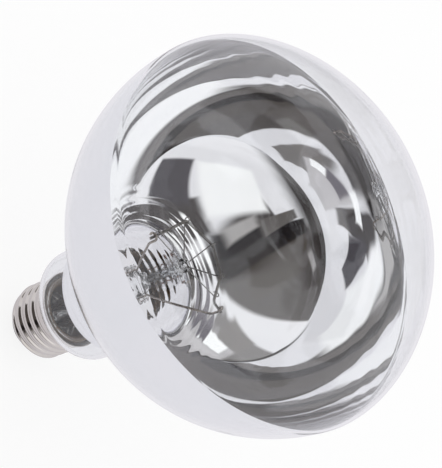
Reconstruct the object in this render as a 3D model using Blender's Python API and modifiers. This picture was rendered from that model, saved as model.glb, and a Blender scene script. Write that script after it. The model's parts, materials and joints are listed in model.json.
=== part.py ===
"""Reflector heat lamp bulb with a clear face, a silvered bowl and a screw cap.

Metres, +Z up. The origin is the flat tip of the centre contact, and +Z runs along
the axis to the clear face. The camera side of the bulb is +X.
"""

import math

import bmesh
import bpy
from mathutils import Matrix, Vector

# Fits between neighbouring pieces
CLEARANCE = 0.0003
HOOK_CLEARANCE = 0.0004

# Centre contact and its solder
SOLDER_TIP_RADIUS = 0.0024
SOLDER_RADIUS = 0.0033
SOLDER_HEIGHT = 0.0013
CONTACT_RADIUS = 0.0054
CONTACT_THICKNESS = 0.0008
CONTACT_EDGE = 0.0002

# Black glass insulator between the contact and the shell
INSULATOR_FOOT_WIDTH = 0.0009
INSULATOR_SKIRT_HEIGHT = 0.0038
INSULATOR_WAIST_HEIGHT = 0.0014
INSULATOR_FLANGE_HEIGHT = 0.0017
INSULATOR_FLANGE_INSET = 0.0006
INSULATOR_CHAMFER = 0.0006

# Rolled screw shell
THREAD_PITCH = 0.00363
THREAD_MAJOR_RADIUS = 0.0131
THREAD_DEPTH = 0.0010
THREAD_TURNS = 4.5
THREAD_FADE = 0.0022
SHELL_WALL = 0.0003
SHELL_LIP_WIDTH = 0.0022
SHELL_LIP_HEIGHT = 0.0018
SHELL_COLLAR_HEIGHT = 0.0011
SHELL_RIM_HEIGHT = 0.0005
SHELL_RIM_FLARE = 0.0003

# Basing cement and the side wire's solder
CEMENT_WALL = 0.0010
CEMENT_HEIGHT = 0.0090
CEMENT_RIM_DEPTH = 0.0015
SIDE_SOLDER_RADIUS = 0.0015

# Blown glass envelope
GLASS_WALL = 0.0011
NECK_RADIUS = 0.0192
NECK_LENGTH = 0.0308
NECK_END_GAP = 0.0030
NECK_SEAT_FILLET = 0.0020
SHOULDER_HEIGHT = 0.0070
BULB_RADIUS = 0.0625
BOWL_DEPTH = 0.0563
BOWL_FOOT_FILLET = 0.0016
BOWL_FOOT_REACH = 0.0021
DOME_HEIGHT = 0.0422
BOWL_EXPONENTS = (1.712, 2.068)
DOME_EXPONENTS = (1.855, 1.597)

# Silvering on the inside of the bowl, neck and round shoulder
COATING_WALL = 0.0002
COATING_FOOT_RISE = 0.0015

# Glass stem: flare, tube and press
STEM_WALL = 0.0010
STEM_RADIUS = 0.0052
FLARE_HEIGHT = 0.0070
PRESS_HEIGHT = 0.0140
PRESS_BLEND = 0.0070
PRESS_SETBACK = 0.0030
PRESS_HALF_WIDTH = 0.0068
PRESS_HALF_THICKNESS = 0.0029
PRESS_EDGE = 0.0012
PRESS_SHOULDER_DROP = 0.0036
PRESS_BOSS_HALF_WIDTH = 0.0021
LEAD_SEAT_OFFSET = 0.0044
LEAD_SEAT_DEPTH = 0.0060

# Exhaust tube inside the stem
EXHAUST_RADIUS = 0.0016
EXHAUST_WALL = 0.0006
EXHAUST_TIP_HEIGHT = 0.0030
EXHAUST_TIP_SETBACK = 0.0016
EXHAUST_NIP_RADIUS = 0.00065
EXHAUST_NIP_HEIGHT = 0.00075

# Glass rod with the button that holds the support wires
ROD_RADIUS = 0.0013
ROD_SEAT_DEPTH = 0.0030
BUTTON_RADIUS = 0.0024
BUTTON_HALF_HEIGHT = 0.0017
BUTTON_ARC_END = -55.0
BUTTON_NECK_DROP = 0.0020

# Coiled filament, hung as an open ring of straight runs
FILAMENT_HEIGHT = 0.0180
FILAMENT_RING_RADIUS = 0.0153
FILAMENT_RADIUS = 0.0005
FILAMENT_LEG_LENGTH = 0.0045
FILAMENT_TAIL_LENGTH = 0.0016
FILAMENT_CORNER_ANGLES = (111.0, 151.0, 191.0, 239.0, 309.0)

# Wires
SUPPORT_RADIUS = 0.0002
SUPPORT_SEAT_DEPTH = 0.0008
SUPPORT_HOOK_SWEEP = 250.0
END_SUPPORT_INSET = 0.0030
LEAD_RADIUS = 0.0004
LEAD_RISE = 0.0012
LEAD_KNEE_DROP = 0.0028
LEAD_BEND = 0.0024
LEAD_HOOK_SWEEP = 215.0
LEAD_HOOK_REACH = 0.0032
OUTER_LEAD_RADIUS = 0.0003
OUTER_LEAD_OFFSET = 0.0028
OUTER_LEAD_SEAT_DEPTH = 0.0035

# Facets
TURN_STEPS = 36
THREAD_STEPS = 24
THREAD_RINGS_PER_TURN = 6
MIDDLE_TURN_STEPS = 24
SMALL_TURN_STEPS = 20
PIN_STEPS = 12
BEAD_RINGS = 8
HOOK_STEPS = 8
DOME_STEPS = 8
BOWL_STEPS = 10
SHOULDER_STEPS = 5
FILLET_STEPS = 3
MERGE_DISTANCE = 0.00005
SHARP_ANGLE = math.radians(38.0)
MITRE_LIMIT = 0.5
BEND_SHARE = 0.45

# Heights worked out from the sizes above, bottom to top
CONTACT_BASE = SOLDER_HEIGHT + CLEARANCE
CONTACT_TOP = CONTACT_BASE + CONTACT_THICKNESS
INSULATOR_BASE = CONTACT_BASE + CLEARANCE
SHELL_BASE = INSULATOR_BASE + INSULATOR_SKIRT_HEIGHT + CLEARANCE
INSULATOR_TOP = (INSULATOR_BASE + INSULATOR_SKIRT_HEIGHT + INSULATOR_WAIST_HEIGHT
                 + INSULATOR_FLANGE_HEIGHT)
THREAD_BASE = SHELL_BASE + SHELL_LIP_HEIGHT
THREAD_TOP = THREAD_BASE + THREAD_TURNS * THREAD_PITCH
RIM_BASE = THREAD_TOP + SHELL_COLLAR_HEIGHT
RIM_TOP = RIM_BASE + SHELL_RIM_HEIGHT
NECK_END = INSULATOR_TOP + NECK_END_GAP
SHOULDER_BASE = RIM_TOP + CLEARANCE
SHOULDER_TOP = SHOULDER_BASE + SHOULDER_HEIGHT
BOWL_BASE = SHOULDER_TOP + NECK_LENGTH
WIDEST_HEIGHT = BOWL_BASE + BOWL_DEPTH
PRESS_TOP = BOWL_BASE - PRESS_SETBACK
PRESS_BASE = PRESS_TOP - PRESS_HEIGHT
PRESS_SHOULDER = PRESS_TOP - PRESS_SHOULDER_DROP
STEM_BORE_TOP = PRESS_BASE - STEM_WALL
EXHAUST_TIP = NECK_END + EXHAUST_TIP_SETBACK
FILAMENT_PLANE = BOWL_BASE + FILAMENT_HEIGHT

# Radii worked out from the sizes above
THREAD_MINOR_RADIUS = THREAD_MAJOR_RADIUS - THREAD_DEPTH
SHELL_MOUTH_RADIUS = THREAD_MINOR_RADIUS - SHELL_LIP_WIDTH
RIM_RADIUS = THREAD_MAJOR_RADIUS + SHELL_RIM_FLARE
CEMENT_OUTER_RADIUS = THREAD_MINOR_RADIUS - SHELL_WALL - CLEARANCE
NECK_SEAT_RADIUS = CEMENT_OUTER_RADIUS - CEMENT_WALL - CLEARANCE
FLARE_RADIUS = NECK_SEAT_RADIUS - GLASS_WALL - CLEARANCE
OUTER_LEAD_HOLE = OUTER_LEAD_RADIUS + CLEARANCE
SUPPORT_HOOK_RADIUS = FILAMENT_RADIUS + HOOK_CLEARANCE + SUPPORT_RADIUS
LEAD_HOOK_RADIUS = FILAMENT_RADIUS + HOOK_CLEARANCE + LEAD_RADIUS
SUPPORT_PLANE = FILAMENT_PLANE - SUPPORT_HOOK_RADIUS

UP = Vector((0.0, 0.0, 1.0))


def clear_scene():
    """Remove the objects and collections that the file starts with."""
    for item in list(bpy.data.objects):
        bpy.data.objects.remove(item, do_unlink=True)
    for group in list(bpy.data.collections):
        bpy.data.collections.remove(group)


def new_collection(name):
    """Make a collection and link it to the scene."""
    group = bpy.data.collections.new(name)
    bpy.context.scene.collection.children.link(group)
    return group


def principled(name, colour, metallic, roughness, transmission=0.0):
    """Make a Principled material from a colour and its main values."""
    material = bpy.data.materials.new(name)
    material.use_nodes = True
    shader = material.node_tree.nodes["Principled BSDF"]
    shader.inputs["Base Color"].default_value = (*colour, 1.0)
    shader.inputs["Metallic"].default_value = metallic
    shader.inputs["Roughness"].default_value = roughness
    shader.inputs["Transmission Weight"].default_value = transmission
    material.diffuse_color = (*colour, 1.0)
    return material


clear_scene()
PARTS = new_collection("heat_lamp_bulb")
CUTTERS = new_collection("cutters")

GLASS = principled("clear_glass", (0.95, 0.96, 0.97), 0.0, 0.02, 1.0)
SILVERING = principled("aluminium_silvering", (0.86, 0.86, 0.87), 1.0, 0.06)
NICKEL = principled("nickel_plate", (0.62, 0.57, 0.54), 1.0, 0.22)
BLACK_GLASS = principled("black_glass", (0.015, 0.015, 0.018), 0.0, 0.12)
BRASS = principled("brass", (0.72, 0.55, 0.30), 1.0, 0.30)
SOLDER = principled("tin_solder", (0.63, 0.63, 0.65), 1.0, 0.38)
CEMENT = principled("basing_cement", (0.55, 0.47, 0.38), 0.0, 0.90)
STEM_GLASS = principled("stem_glass", (0.90, 0.92, 0.93), 0.0, 0.05, 1.0)
NICKEL_WIRE = principled("nickel_wire", (0.60, 0.58, 0.55), 1.0, 0.30)
MOLYBDENUM = principled("molybdenum_wire", (0.50, 0.50, 0.51), 1.0, 0.30)
COPPER = principled("copper_wire", (0.72, 0.42, 0.28), 1.0, 0.35)
TUNGSTEN = principled("tungsten_coil", (0.42, 0.41, 0.40), 1.0, 0.40)


def superellipse(centre, semi_axes, exponents, count):
    """Points of a quarter superellipse, from its widest point to its pole.

    centre and semi_axes are (radius, height) pairs; a negative height axis turns
    the curve downwards.
    """
    points = []
    for index in range(count + 1):
        angle = 0.5 * math.pi * index / count
        across = max(math.cos(angle), 0.0) ** (2.0 / exponents[0])
        along = math.sin(angle) ** (2.0 / exponents[1])
        points.append((centre[0] + semi_axes[0] * across, centre[1] + semi_axes[1] * along))
    return points


def ellipse_arc(centre, semi_axes, start, end, count):
    """Points of an ellipse's arc between two angles in degrees."""
    points = []
    for index in range(count + 1):
        angle = math.radians(start + (end - start) * index / count)
        points.append((centre[0] + semi_axes[0] * math.cos(angle),
                       centre[1] + semi_axes[1] * math.sin(angle)))
    return points


def inset_outline(outline, distance):
    """Move an open top-to-bottom outline inwards, keeping an even distance."""
    inset = []
    last = len(outline) - 1
    for index, (radius, height) in enumerate(outline):
        before = outline[max(index - 1, 0)]
        after = outline[min(index + 1, last)]
        first = Vector((radius - before[0], height - before[1]))
        second = Vector((after[0] - radius, after[1] - height))
        if first.length == 0.0:
            first = second
        if second.length == 0.0:
            second = first
        first_normal = Vector((first.y, -first.x)).normalized()
        second_normal = Vector((second.y, -second.x)).normalized()
        middle = (first_normal + second_normal).normalized()
        shift = distance / max(middle.dot(first_normal), MITRE_LIMIT)
        inset.append((radius + middle.x * shift, height + middle.y * shift))
    return inset


def turned(name, outline, material, base=0.0, closed=False, steps=TURN_STEPS):
    """Turn a (radius, height) outline about Z, as an object that stands at base.

    The outline runs down its outer side. A closed one is joined end to start.
    """
    mesh = bpy.data.meshes.new(name)
    vertices = [(radius, 0.0, height - base) for radius, height in outline]
    edges = [(index, index + 1) for index in range(len(outline) - 1)]
    if closed:
        edges.append((len(outline) - 1, 0))
    mesh.from_pydata(vertices, edges, [])
    mesh.materials.append(material)
    item = bpy.data.objects.new(name, mesh)
    item.location.z = base
    PARTS.objects.link(item)
    screw = item.modifiers.new("turn", "SCREW")
    screw.steps = steps
    screw.render_steps = steps
    screw.use_merge_vertices = True
    screw.merge_threshold = MERGE_DISTANCE
    screw.use_smooth_shade = True
    return item


def add_wall(item, thickness):
    """Give an open outward-facing surface its wall, laid on the inside."""
    wall = item.modifiers.new("wall", "SOLIDIFY")
    wall.thickness = thickness
    wall.offset = -1.0
    wall.use_even_offset = True
    wall.use_rim = True


def mesh_object(name, source, material, location=(0.0, 0.0, 0.0)):
    """Put a bmesh into a smooth-shaded object among the parts."""
    mesh = bpy.data.meshes.new(name)
    source.to_mesh(mesh)
    source.free()
    mesh.materials.append(material)
    mesh.shade_smooth()
    mesh.set_sharp_from_angle(angle=SHARP_ANGLE)
    item = bpy.data.objects.new(name, mesh)
    item.location = location
    PARTS.objects.link(item)
    return item


def freeze(item):
    """Replace an object's modifiers by the mesh that they make."""
    bpy.context.view_layer.update()
    evaluated = item.evaluated_get(bpy.context.evaluated_depsgraph_get())
    shaped = bpy.data.meshes.new_from_object(evaluated)
    item.modifiers.clear()
    item.data = shaped
    shaped.name = item.name
    return item


def as_cutter(item):
    """Move an object to the cutters' collection and keep it out of the part."""
    for group in item.users_collection:
        group.objects.unlink(item)
    CUTTERS.objects.link(item)
    item.hide_render = True
    item.display_type = "WIRE"
    return item


def pin_cutter(name, radius, start, end, steps=PIN_STEPS):
    """Make a round cutter between two points."""
    start = Vector(start)
    end = Vector(end)
    shape = bmesh.new()
    bmesh.ops.create_cone(shape, cap_ends=True, segments=steps, radius1=radius,
                          radius2=radius, depth=(end - start).length)
    mesh = bpy.data.meshes.new(name)
    shape.to_mesh(mesh)
    shape.free()
    item = bpy.data.objects.new(name, mesh)
    item.matrix_world = (Matrix.Translation((start + end) / 2.0)
                         @ UP.rotation_difference(end - start).to_matrix().to_4x4())
    PARTS.objects.link(item)
    return as_cutter(item)


def box_cutter(name, lowest, highest):
    """Make a box cutter from its two far corners."""
    lowest = Vector(lowest)
    highest = Vector(highest)
    shape = bmesh.new()
    bmesh.ops.create_cube(shape, size=1.0)
    bmesh.ops.scale(shape, vec=highest - lowest, verts=shape.verts)
    mesh = bpy.data.meshes.new(name)
    shape.to_mesh(mesh)
    shape.free()
    item = bpy.data.objects.new(name, mesh)
    item.location = (lowest + highest) / 2.0
    PARTS.objects.link(item)
    return as_cutter(item)


def cut(item, cutter):
    """Take a cutter's shape out of an object."""
    tool = item.modifiers.new("cut_" + cutter.name, "BOOLEAN")
    tool.operation = "DIFFERENCE"
    tool.solver = "EXACT"
    tool.object = cutter


def wire(name, points, radius, material):
    """Draw a round wire through a list of points, with filled ends."""
    curve = bpy.data.curves.new(name, "CURVE")
    curve.dimensions = "3D"
    curve.bevel_depth = radius
    curve.bevel_resolution = 2
    curve.use_fill_caps = True
    spline = curve.splines.new("POLY")
    spline.points.add(len(points) - 1)
    for knot, place in zip(spline.points, points):
        knot.co = (*place, 1.0)
    curve.materials.append(material)
    item = bpy.data.objects.new(name, curve)
    PARTS.objects.link(item)
    return item


def bend(points, radius, count=FILLET_STEPS):
    """Round the inner corners of a path with arcs of about one radius."""
    points = [Vector(place) for place in points]
    path = [points[0]]
    for before, corner, after in zip(points, points[1:], points[2:]):
        to_before = before - corner
        to_after = after - corner
        reach = min(radius, BEND_SHARE * to_before.length, BEND_SHARE * to_after.length)
        start = corner + to_before.normalized() * reach
        end = corner + to_after.normalized() * reach
        for index in range(count + 1):
            share = index / count
            path.append(start.lerp(corner, share).lerp(corner.lerp(end, share), share))
    path.append(points[-1])
    return path


def hook(centre, out, up, radius, start, sweep, count=HOOK_STEPS):
    """Points of a hook's arc about a centre, in the plane of out and up."""
    points = []
    for index in range(count + 1):
        angle = math.radians(start + sweep * index / count)
        points.append(centre + radius * (math.cos(angle) * out + math.sin(angle) * up))
    return points


def radial(angle):
    """Unit vector in the horizontal plane at an angle in degrees."""
    return Vector((math.cos(math.radians(angle)), math.sin(math.radians(angle)), 0.0))


def smooth_step(value):
    """Ease a share from 0 to 1, flat at both ends."""
    value = min(max(value, 0.0), 1.0)
    return value * value * (3.0 - 2.0 * value)


def envelope_outline():
    """Outside of the blown glass, from the middle of the face to the neck's end."""
    dome = superellipse((0.0, WIDEST_HEIGHT), (BULB_RADIUS, DOME_HEIGHT), DOME_EXPONENTS,
                        DOME_STEPS)
    dome.reverse()
    dome[0] = (0.0, WIDEST_HEIGHT + DOME_HEIGHT)
    bowl = superellipse((NECK_RADIUS, WIDEST_HEIGHT), (BULB_RADIUS - NECK_RADIUS, -BOWL_DEPTH),
                        BOWL_EXPONENTS, BOWL_STEPS)
    fillet = ellipse_arc((NECK_RADIUS + BOWL_FOOT_FILLET, BOWL_BASE - BOWL_FOOT_FILLET),
                         (BOWL_FOOT_FILLET, BOWL_FOOT_FILLET), 90.0, 180.0, FILLET_STEPS)
    seat_centre = NECK_SEAT_RADIUS + NECK_SEAT_FILLET
    shoulder = ellipse_arc((seat_centre, SHOULDER_TOP),
                           (NECK_RADIUS - seat_centre, SHOULDER_HEIGHT), 0.0, -90.0,
                           SHOULDER_STEPS)
    seat = ellipse_arc((seat_centre, SHOULDER_BASE - NECK_SEAT_FILLET),
                       (NECK_SEAT_FILLET, NECK_SEAT_FILLET), 90.0, 180.0, FILLET_STEPS)
    bowl = [place for place in bowl[1:] if place[0] > NECK_RADIUS + BOWL_FOOT_REACH]
    return dome + bowl + fillet + shoulder + seat[1:] + [(NECK_SEAT_RADIUS, NECK_END)]


def make_envelope():
    """Blow the envelope: one glass shell, open where the stem's flare seats."""
    envelope = turned("glass_envelope", envelope_outline(), GLASS, base=NECK_END)
    add_wall(envelope, GLASS_WALL)
    return envelope


def make_coating():
    """Lay the silvering inside the bowl, neck and shoulder, up to its edge at the widest part."""
    foot = SHOULDER_BASE + COATING_FOOT_RISE
    inside = inset_outline(envelope_outline(), GLASS_WALL + CLEARANCE)
    edge = [(BULB_RADIUS - GLASS_WALL - CLEARANCE, WIDEST_HEIGHT)]
    silvered = [place for place in inside if foot < place[1] < WIDEST_HEIGHT - GLASS_WALL]
    coating = turned("mirror_coating", edge + silvered, SILVERING, base=silvered[-1][1])
    add_wall(coating, COATING_WALL)
    return coating


def thread_radius(angle, height):
    """Outside radius of the rolled sheet at an angle and a height above the thread."""
    middle = THREAD_MAJOR_RADIUS - THREAD_DEPTH / 2.0
    phase = 2.0 * math.pi * height / THREAD_PITCH - angle
    wave = middle + THREAD_DEPTH / 2.0 * math.cos(phase)
    run_in = smooth_step(height / THREAD_FADE)
    run_out = smooth_step((THREAD_TURNS * THREAD_PITCH - height) / THREAD_FADE)
    wave = THREAD_MINOR_RADIUS + (wave - THREAD_MINOR_RADIUS) * run_in
    return THREAD_MAJOR_RADIUS + (wave - THREAD_MAJOR_RADIUS) * run_out


def shell_rings():
    """List the shell's rings from foot to rim, as (height, radius of an angle)."""
    rings = []
    for radius, height in ellipse_arc((SHELL_MOUTH_RADIUS, THREAD_BASE),
                                      (SHELL_LIP_WIDTH, SHELL_LIP_HEIGHT), -90.0, 0.0, 4)[:-1]:
        rings.append((height, lambda angle, fixed=radius: fixed))
    count = math.ceil(THREAD_TURNS * THREAD_RINGS_PER_TURN)
    for index in range(count + 1):
        height = THREAD_TURNS * THREAD_PITCH * index / count
        rings.append((THREAD_BASE + height,
                      lambda angle, fixed=height: thread_radius(angle, fixed)))
    rings.append((RIM_BASE, lambda angle: THREAD_MAJOR_RADIUS))
    rings.append((RIM_TOP, lambda angle: RIM_RADIUS))
    return rings


def make_screw_shell():
    """Roll the shell: a sheet tube whose thread climbs as one helix, with a side notch."""
    rings = shell_rings()
    shape = bmesh.new()
    bmesh.ops.create_grid(shape, x_segments=THREAD_STEPS, y_segments=len(rings) - 1, size=0.5)
    for vertex in shape.verts:
        angle = 2.0 * math.pi * (vertex.co.x + 0.5)
        height, radius = rings[round((vertex.co.y + 0.5) * (len(rings) - 1))]
        spread = radius(angle)
        vertex.co = (spread * math.cos(angle), spread * math.sin(angle), height - SHELL_BASE)
    bmesh.ops.remove_doubles(shape, verts=shape.verts, dist=MERGE_DISTANCE)
    shell = mesh_object("screw_shell", shape, NICKEL, (0.0, 0.0, SHELL_BASE))
    add_wall(shell, SHELL_WALL)
    half_width = OUTER_LEAD_RADIUS + 2.0 * CLEARANCE
    notch = box_cutter("side_wire_notch",
                       (-RIM_RADIUS - SHELL_RIM_FLARE, -half_width, side_wire_height() - half_width),
                       (-CEMENT_OUTER_RADIUS, half_width, RIM_TOP + half_width))
    cut(shell, notch)
    return shell


def side_wire_height():
    """Height at which the side wire passes out through the shell's notch."""
    return RIM_TOP - OUTER_LEAD_RADIUS - CLEARANCE - SHELL_WALL


def make_contact():
    """Press the brass contact disc and lay its solder tip, both with the wire's way."""
    edge = CONTACT_EDGE
    disc = turned("centre_contact",
                  [(OUTER_LEAD_HOLE, CONTACT_TOP), (CONTACT_RADIUS - edge, CONTACT_TOP),
                   (CONTACT_RADIUS, CONTACT_TOP - edge), (CONTACT_RADIUS, CONTACT_BASE + 2.0 * edge),
                   (CONTACT_RADIUS - 2.0 * edge, CONTACT_BASE), (OUTER_LEAD_HOLE, CONTACT_BASE)],
                  BRASS, base=CONTACT_BASE, closed=True, steps=SMALL_TURN_STEPS)
    bulge = ellipse_arc((SOLDER_TIP_RADIUS, SOLDER_HEIGHT),
                        (SOLDER_RADIUS - SOLDER_TIP_RADIUS, SOLDER_HEIGHT), 0.0, -90.0, 4)
    tip = turned("contact_solder", [(0.0, SOLDER_HEIGHT)] + bulge + [(0.0, 0.0)],
                 SOLDER, steps=SMALL_TURN_STEPS)
    cut(tip, pin_cutter("contact_wire_seat", OUTER_LEAD_HOLE,
                        (0.0, 0.0, SOLDER_HEIGHT / 2.0), (0.0, 0.0, CONTACT_TOP)))
    return disc, tip


def make_insulator():
    """Mould the black glass that carries the contact inside the shell's mouth."""
    recess = CONTACT_RADIUS + CLEARANCE
    waist = SHELL_MOUTH_RADIUS - CLEARANCE
    skirt_top = INSULATOR_BASE + INSULATOR_SKIRT_HEIGHT
    flange = CEMENT_OUTER_RADIUS - INSULATOR_FLANGE_INSET
    flange_base = INSULATOR_TOP - INSULATOR_FLANGE_HEIGHT
    chamfer = INSULATOR_CHAMFER
    outline = [(OUTER_LEAD_HOLE, INSULATOR_TOP), (flange - chamfer, INSULATOR_TOP),
               (flange, INSULATOR_TOP - chamfer), (flange, flange_base + chamfer),
               (flange - chamfer, flange_base), (waist, flange_base), (waist, skirt_top)]
    outline += ellipse_arc((recess + INSULATOR_FOOT_WIDTH, skirt_top),
                           (waist - recess - INSULATOR_FOOT_WIDTH, INSULATOR_SKIRT_HEIGHT),
                           0.0, -90.0, 5)[1:]
    outline += [(recess, INSULATOR_BASE), (recess, CONTACT_TOP + CLEARANCE),
                (OUTER_LEAD_HOLE, CONTACT_TOP + CLEARANCE)]
    return turned("base_insulator", outline, BLACK_GLASS, base=INSULATOR_BASE, closed=True,
                  steps=MIDDLE_TURN_STEPS)


def make_cement():
    """Fill the ring between the shell and the neck, with a channel for the side wire."""
    top = RIM_TOP - CEMENT_RIM_DEPTH
    inner = NECK_SEAT_RADIUS + CLEARANCE
    base = top - CEMENT_HEIGHT
    ring = turned("basing_cement",
                  [(inner, top), (CEMENT_OUTER_RADIUS, top), (CEMENT_OUTER_RADIUS, base),
                   (inner, base)],
                  CEMENT, base=base, closed=True)
    half_width = OUTER_LEAD_RADIUS + 2.0 * CLEARANCE
    cut(ring, box_cutter("side_wire_channel",
                         (-THREAD_MAJOR_RADIUS, -half_width, base - half_width),
                         (-NECK_SEAT_RADIUS / 2.0, half_width, top + half_width)))
    return ring


def make_side_solder():
    """Lay the solder bead that joins the side wire to the outside of the rim."""
    height = side_wire_height()
    face = RIM_RADIUS + CLEARANCE
    shape = bmesh.new()
    bmesh.ops.create_uvsphere(shape, u_segments=PIN_STEPS, v_segments=BEAD_RINGS,
                              radius=SIDE_SOLDER_RADIUS)
    bead = mesh_object("side_solder", shape, SOLDER, (-face, 0.0, height))
    reach = 2.0 * SIDE_SOLDER_RADIUS
    cut(bead, pin_cutter("side_solder_back", face, (0.0, 0.0, height - reach),
                         (0.0, 0.0, height + reach), TURN_STEPS))
    cut(bead, pin_cutter("side_wire_seat", OUTER_LEAD_HOLE,
                         (-face + SIDE_SOLDER_RADIUS, 0.0, height),
                         (-face - SIDE_SOLDER_RADIUS / 2.0, 0.0, height)))
    return bead


def stem_outline():
    """Solid press above a hollow tube that opens into the flare."""
    edge = PRESS_EDGE
    crown = ellipse_arc((STEM_RADIUS - edge, PRESS_TOP - edge), (edge, edge), 90.0, 0.0, 3)
    outline = [(0.0, PRESS_TOP), (crown[0][0] / 2.0, PRESS_TOP)] + crown
    for share in (0.5, 0.25, 0.0):
        outline.append((STEM_RADIUS, PRESS_BASE + share * PRESS_HEIGHT))
    swell = FLARE_RADIUS - STEM_RADIUS
    flare_top = NECK_END + FLARE_HEIGHT
    outer = ellipse_arc((FLARE_RADIUS, flare_top), (swell, FLARE_HEIGHT - STEM_WALL),
                        180.0, 270.0, 5)
    outline += outer[:-1]
    outline += [(FLARE_RADIUS, NECK_END + STEM_WALL), (FLARE_RADIUS, NECK_END)]
    inner = ellipse_arc((FLARE_RADIUS, flare_top), (swell + STEM_WALL, FLARE_HEIGHT),
                        270.0, 180.0, 5)
    outline += inner[1:]
    outline += [(STEM_RADIUS - STEM_WALL, STEM_BORE_TOP), (0.0, STEM_BORE_TOP)]
    return outline


def make_stem():
    """Turn the stem, pinch its upper end flat and lower, and open its wire and rod seats."""
    stem = turned("glass_stem", stem_outline(), STEM_GLASS, base=NECK_END,
                  steps=MIDDLE_TURN_STEPS)
    freeze(stem)
    for vertex in stem.data.vertices:
        share = smooth_step((vertex.co.z + NECK_END - PRESS_BASE) / PRESS_BLEND)
        vertex.co.x *= 1.0 + share * (PRESS_HALF_THICKNESS / STEM_RADIUS - 1.0)
        vertex.co.y *= 1.0 + share * (PRESS_HALF_WIDTH / STEM_RADIUS - 1.0)
        beside = smooth_step((abs(vertex.co.y) - PRESS_BOSS_HALF_WIDTH) / PRESS_BOSS_HALF_WIDTH)
        vertex.co.z -= share * beside * PRESS_SHOULDER_DROP
    above = PRESS_TOP + ROD_RADIUS
    cut(stem, pin_cutter("rod_seat", ROD_RADIUS + CLEARANCE,
                         (0.0, 0.0, PRESS_TOP - ROD_SEAT_DEPTH), (0.0, 0.0, above)))
    for name, side in (("a", 1.0), ("b", -1.0)):
        lead_y = side * LEAD_SEAT_OFFSET
        cut(stem, pin_cutter("lead_seat_" + name, LEAD_RADIUS + CLEARANCE,
                             (0.0, lead_y, PRESS_SHOULDER - LEAD_SEAT_DEPTH),
                             (0.0, lead_y, above)))
        outer_y = side * OUTER_LEAD_OFFSET
        cut(stem, pin_cutter("outer_lead_seat_" + name, OUTER_LEAD_HOLE,
                             (0.0, outer_y, STEM_BORE_TOP - STEM_WALL),
                             (0.0, outer_y, STEM_BORE_TOP + OUTER_LEAD_SEAT_DEPTH)))
    return stem


def make_exhaust_tube():
    """Draw the exhaust tube: open under the press and sealed to a tip in the flare."""
    top = STEM_BORE_TOP - CLEARANCE
    bore = EXHAUST_RADIUS - EXHAUST_WALL
    waist = EXHAUST_TIP + EXHAUST_TIP_HEIGHT
    outline = [(bore, top), (EXHAUST_RADIUS, top), (EXHAUST_RADIUS, waist),
               (EXHAUST_NIP_RADIUS, EXHAUST_TIP + EXHAUST_NIP_HEIGHT),
               (0.0, EXHAUST_TIP), (0.0, waist - EXHAUST_WALL), (bore, waist + EXHAUST_WALL)]
    return turned("exhaust_tube", outline, STEM_GLASS, base=EXHAUST_TIP, closed=True, steps=PIN_STEPS)


def make_rod():
    """Draw the glass rod and swell its top into the button, with the wires' seats."""
    foot = PRESS_TOP - ROD_SEAT_DEPTH + CLEARANCE
    button = ellipse_arc((0.0, SUPPORT_PLANE), (BUTTON_RADIUS, BUTTON_HALF_HEIGHT),
                         90.0, BUTTON_ARC_END, BEAD_RINGS)
    button[0] = (0.0, SUPPORT_PLANE + BUTTON_HALF_HEIGHT)
    neck = (ROD_RADIUS, SUPPORT_PLANE - BUTTON_NECK_DROP)
    rod = turned("glass_rod", button + [neck, (ROD_RADIUS, foot), (0.0, foot)], STEM_GLASS,
                 base=foot, steps=SMALL_TURN_STEPS)
    centre = UP * SUPPORT_PLANE
    for index, place in enumerate(supported_places()):
        out = outward(place)
        cut(rod, pin_cutter(f"support_seat_{index + 1}", SUPPORT_RADIUS + CLEARANCE,
                            centre + out * (BUTTON_RADIUS - SUPPORT_SEAT_DEPTH),
                            centre + out * 2.0 * BUTTON_RADIUS))
    return rod


def corner(angle):
    """Place of a filament corner at one angle."""
    return radial(angle) * FILAMENT_RING_RADIUS + UP * FILAMENT_PLANE


def supported_places():
    """Places where the filament is hooked: its inner corners, and just inside its ends."""
    corners = [corner(angle) for angle in FILAMENT_CORNER_ANGLES]
    first = corners[0] + (corners[1] - corners[0]).normalized() * END_SUPPORT_INSET
    last = corners[-1] + (corners[-2] - corners[-1]).normalized() * END_SUPPORT_INSET
    return [first] + corners[1:-1] + [last]


def outward(place):
    """Horizontal direction from the bulb's axis to a place."""
    return Vector((place.x, place.y, 0.0)).normalized()


def tail_direction():
    """Direction of the filament's last run, which its tail carries on."""
    return (corner(FILAMENT_CORNER_ANGLES[-1]) - corner(FILAMENT_CORNER_ANGLES[-2])).normalized()


def make_filament():
    """Hang the coiled filament on its corners, with a leg out to one lead and a tail."""
    corners = [corner(angle) for angle in FILAMENT_CORNER_ANGLES]
    leg = corners[0] + radial(FILAMENT_CORNER_ANGLES[0]) * FILAMENT_LEG_LENGTH
    tail = corners[-1] + tail_direction() * FILAMENT_TAIL_LENGTH
    return wire("filament", [leg] + corners + [tail], FILAMENT_RADIUS, TUNGSTEN)


def make_supports():
    """Run one support wire from the button to each corner, and hook it round the coil."""
    seat = BUTTON_RADIUS - SUPPORT_SEAT_DEPTH + CLEARANCE
    for index, place in enumerate(supported_places()):
        out = outward(place)
        start = out * seat + UP * SUPPORT_PLANE
        curl = hook(place, out, UP, SUPPORT_HOOK_RADIUS, -90.0, SUPPORT_HOOK_SWEEP)
        wire(f"filament_support_{index + 1}", [start] + curl, SUPPORT_RADIUS, MOLYBDENUM)


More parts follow.
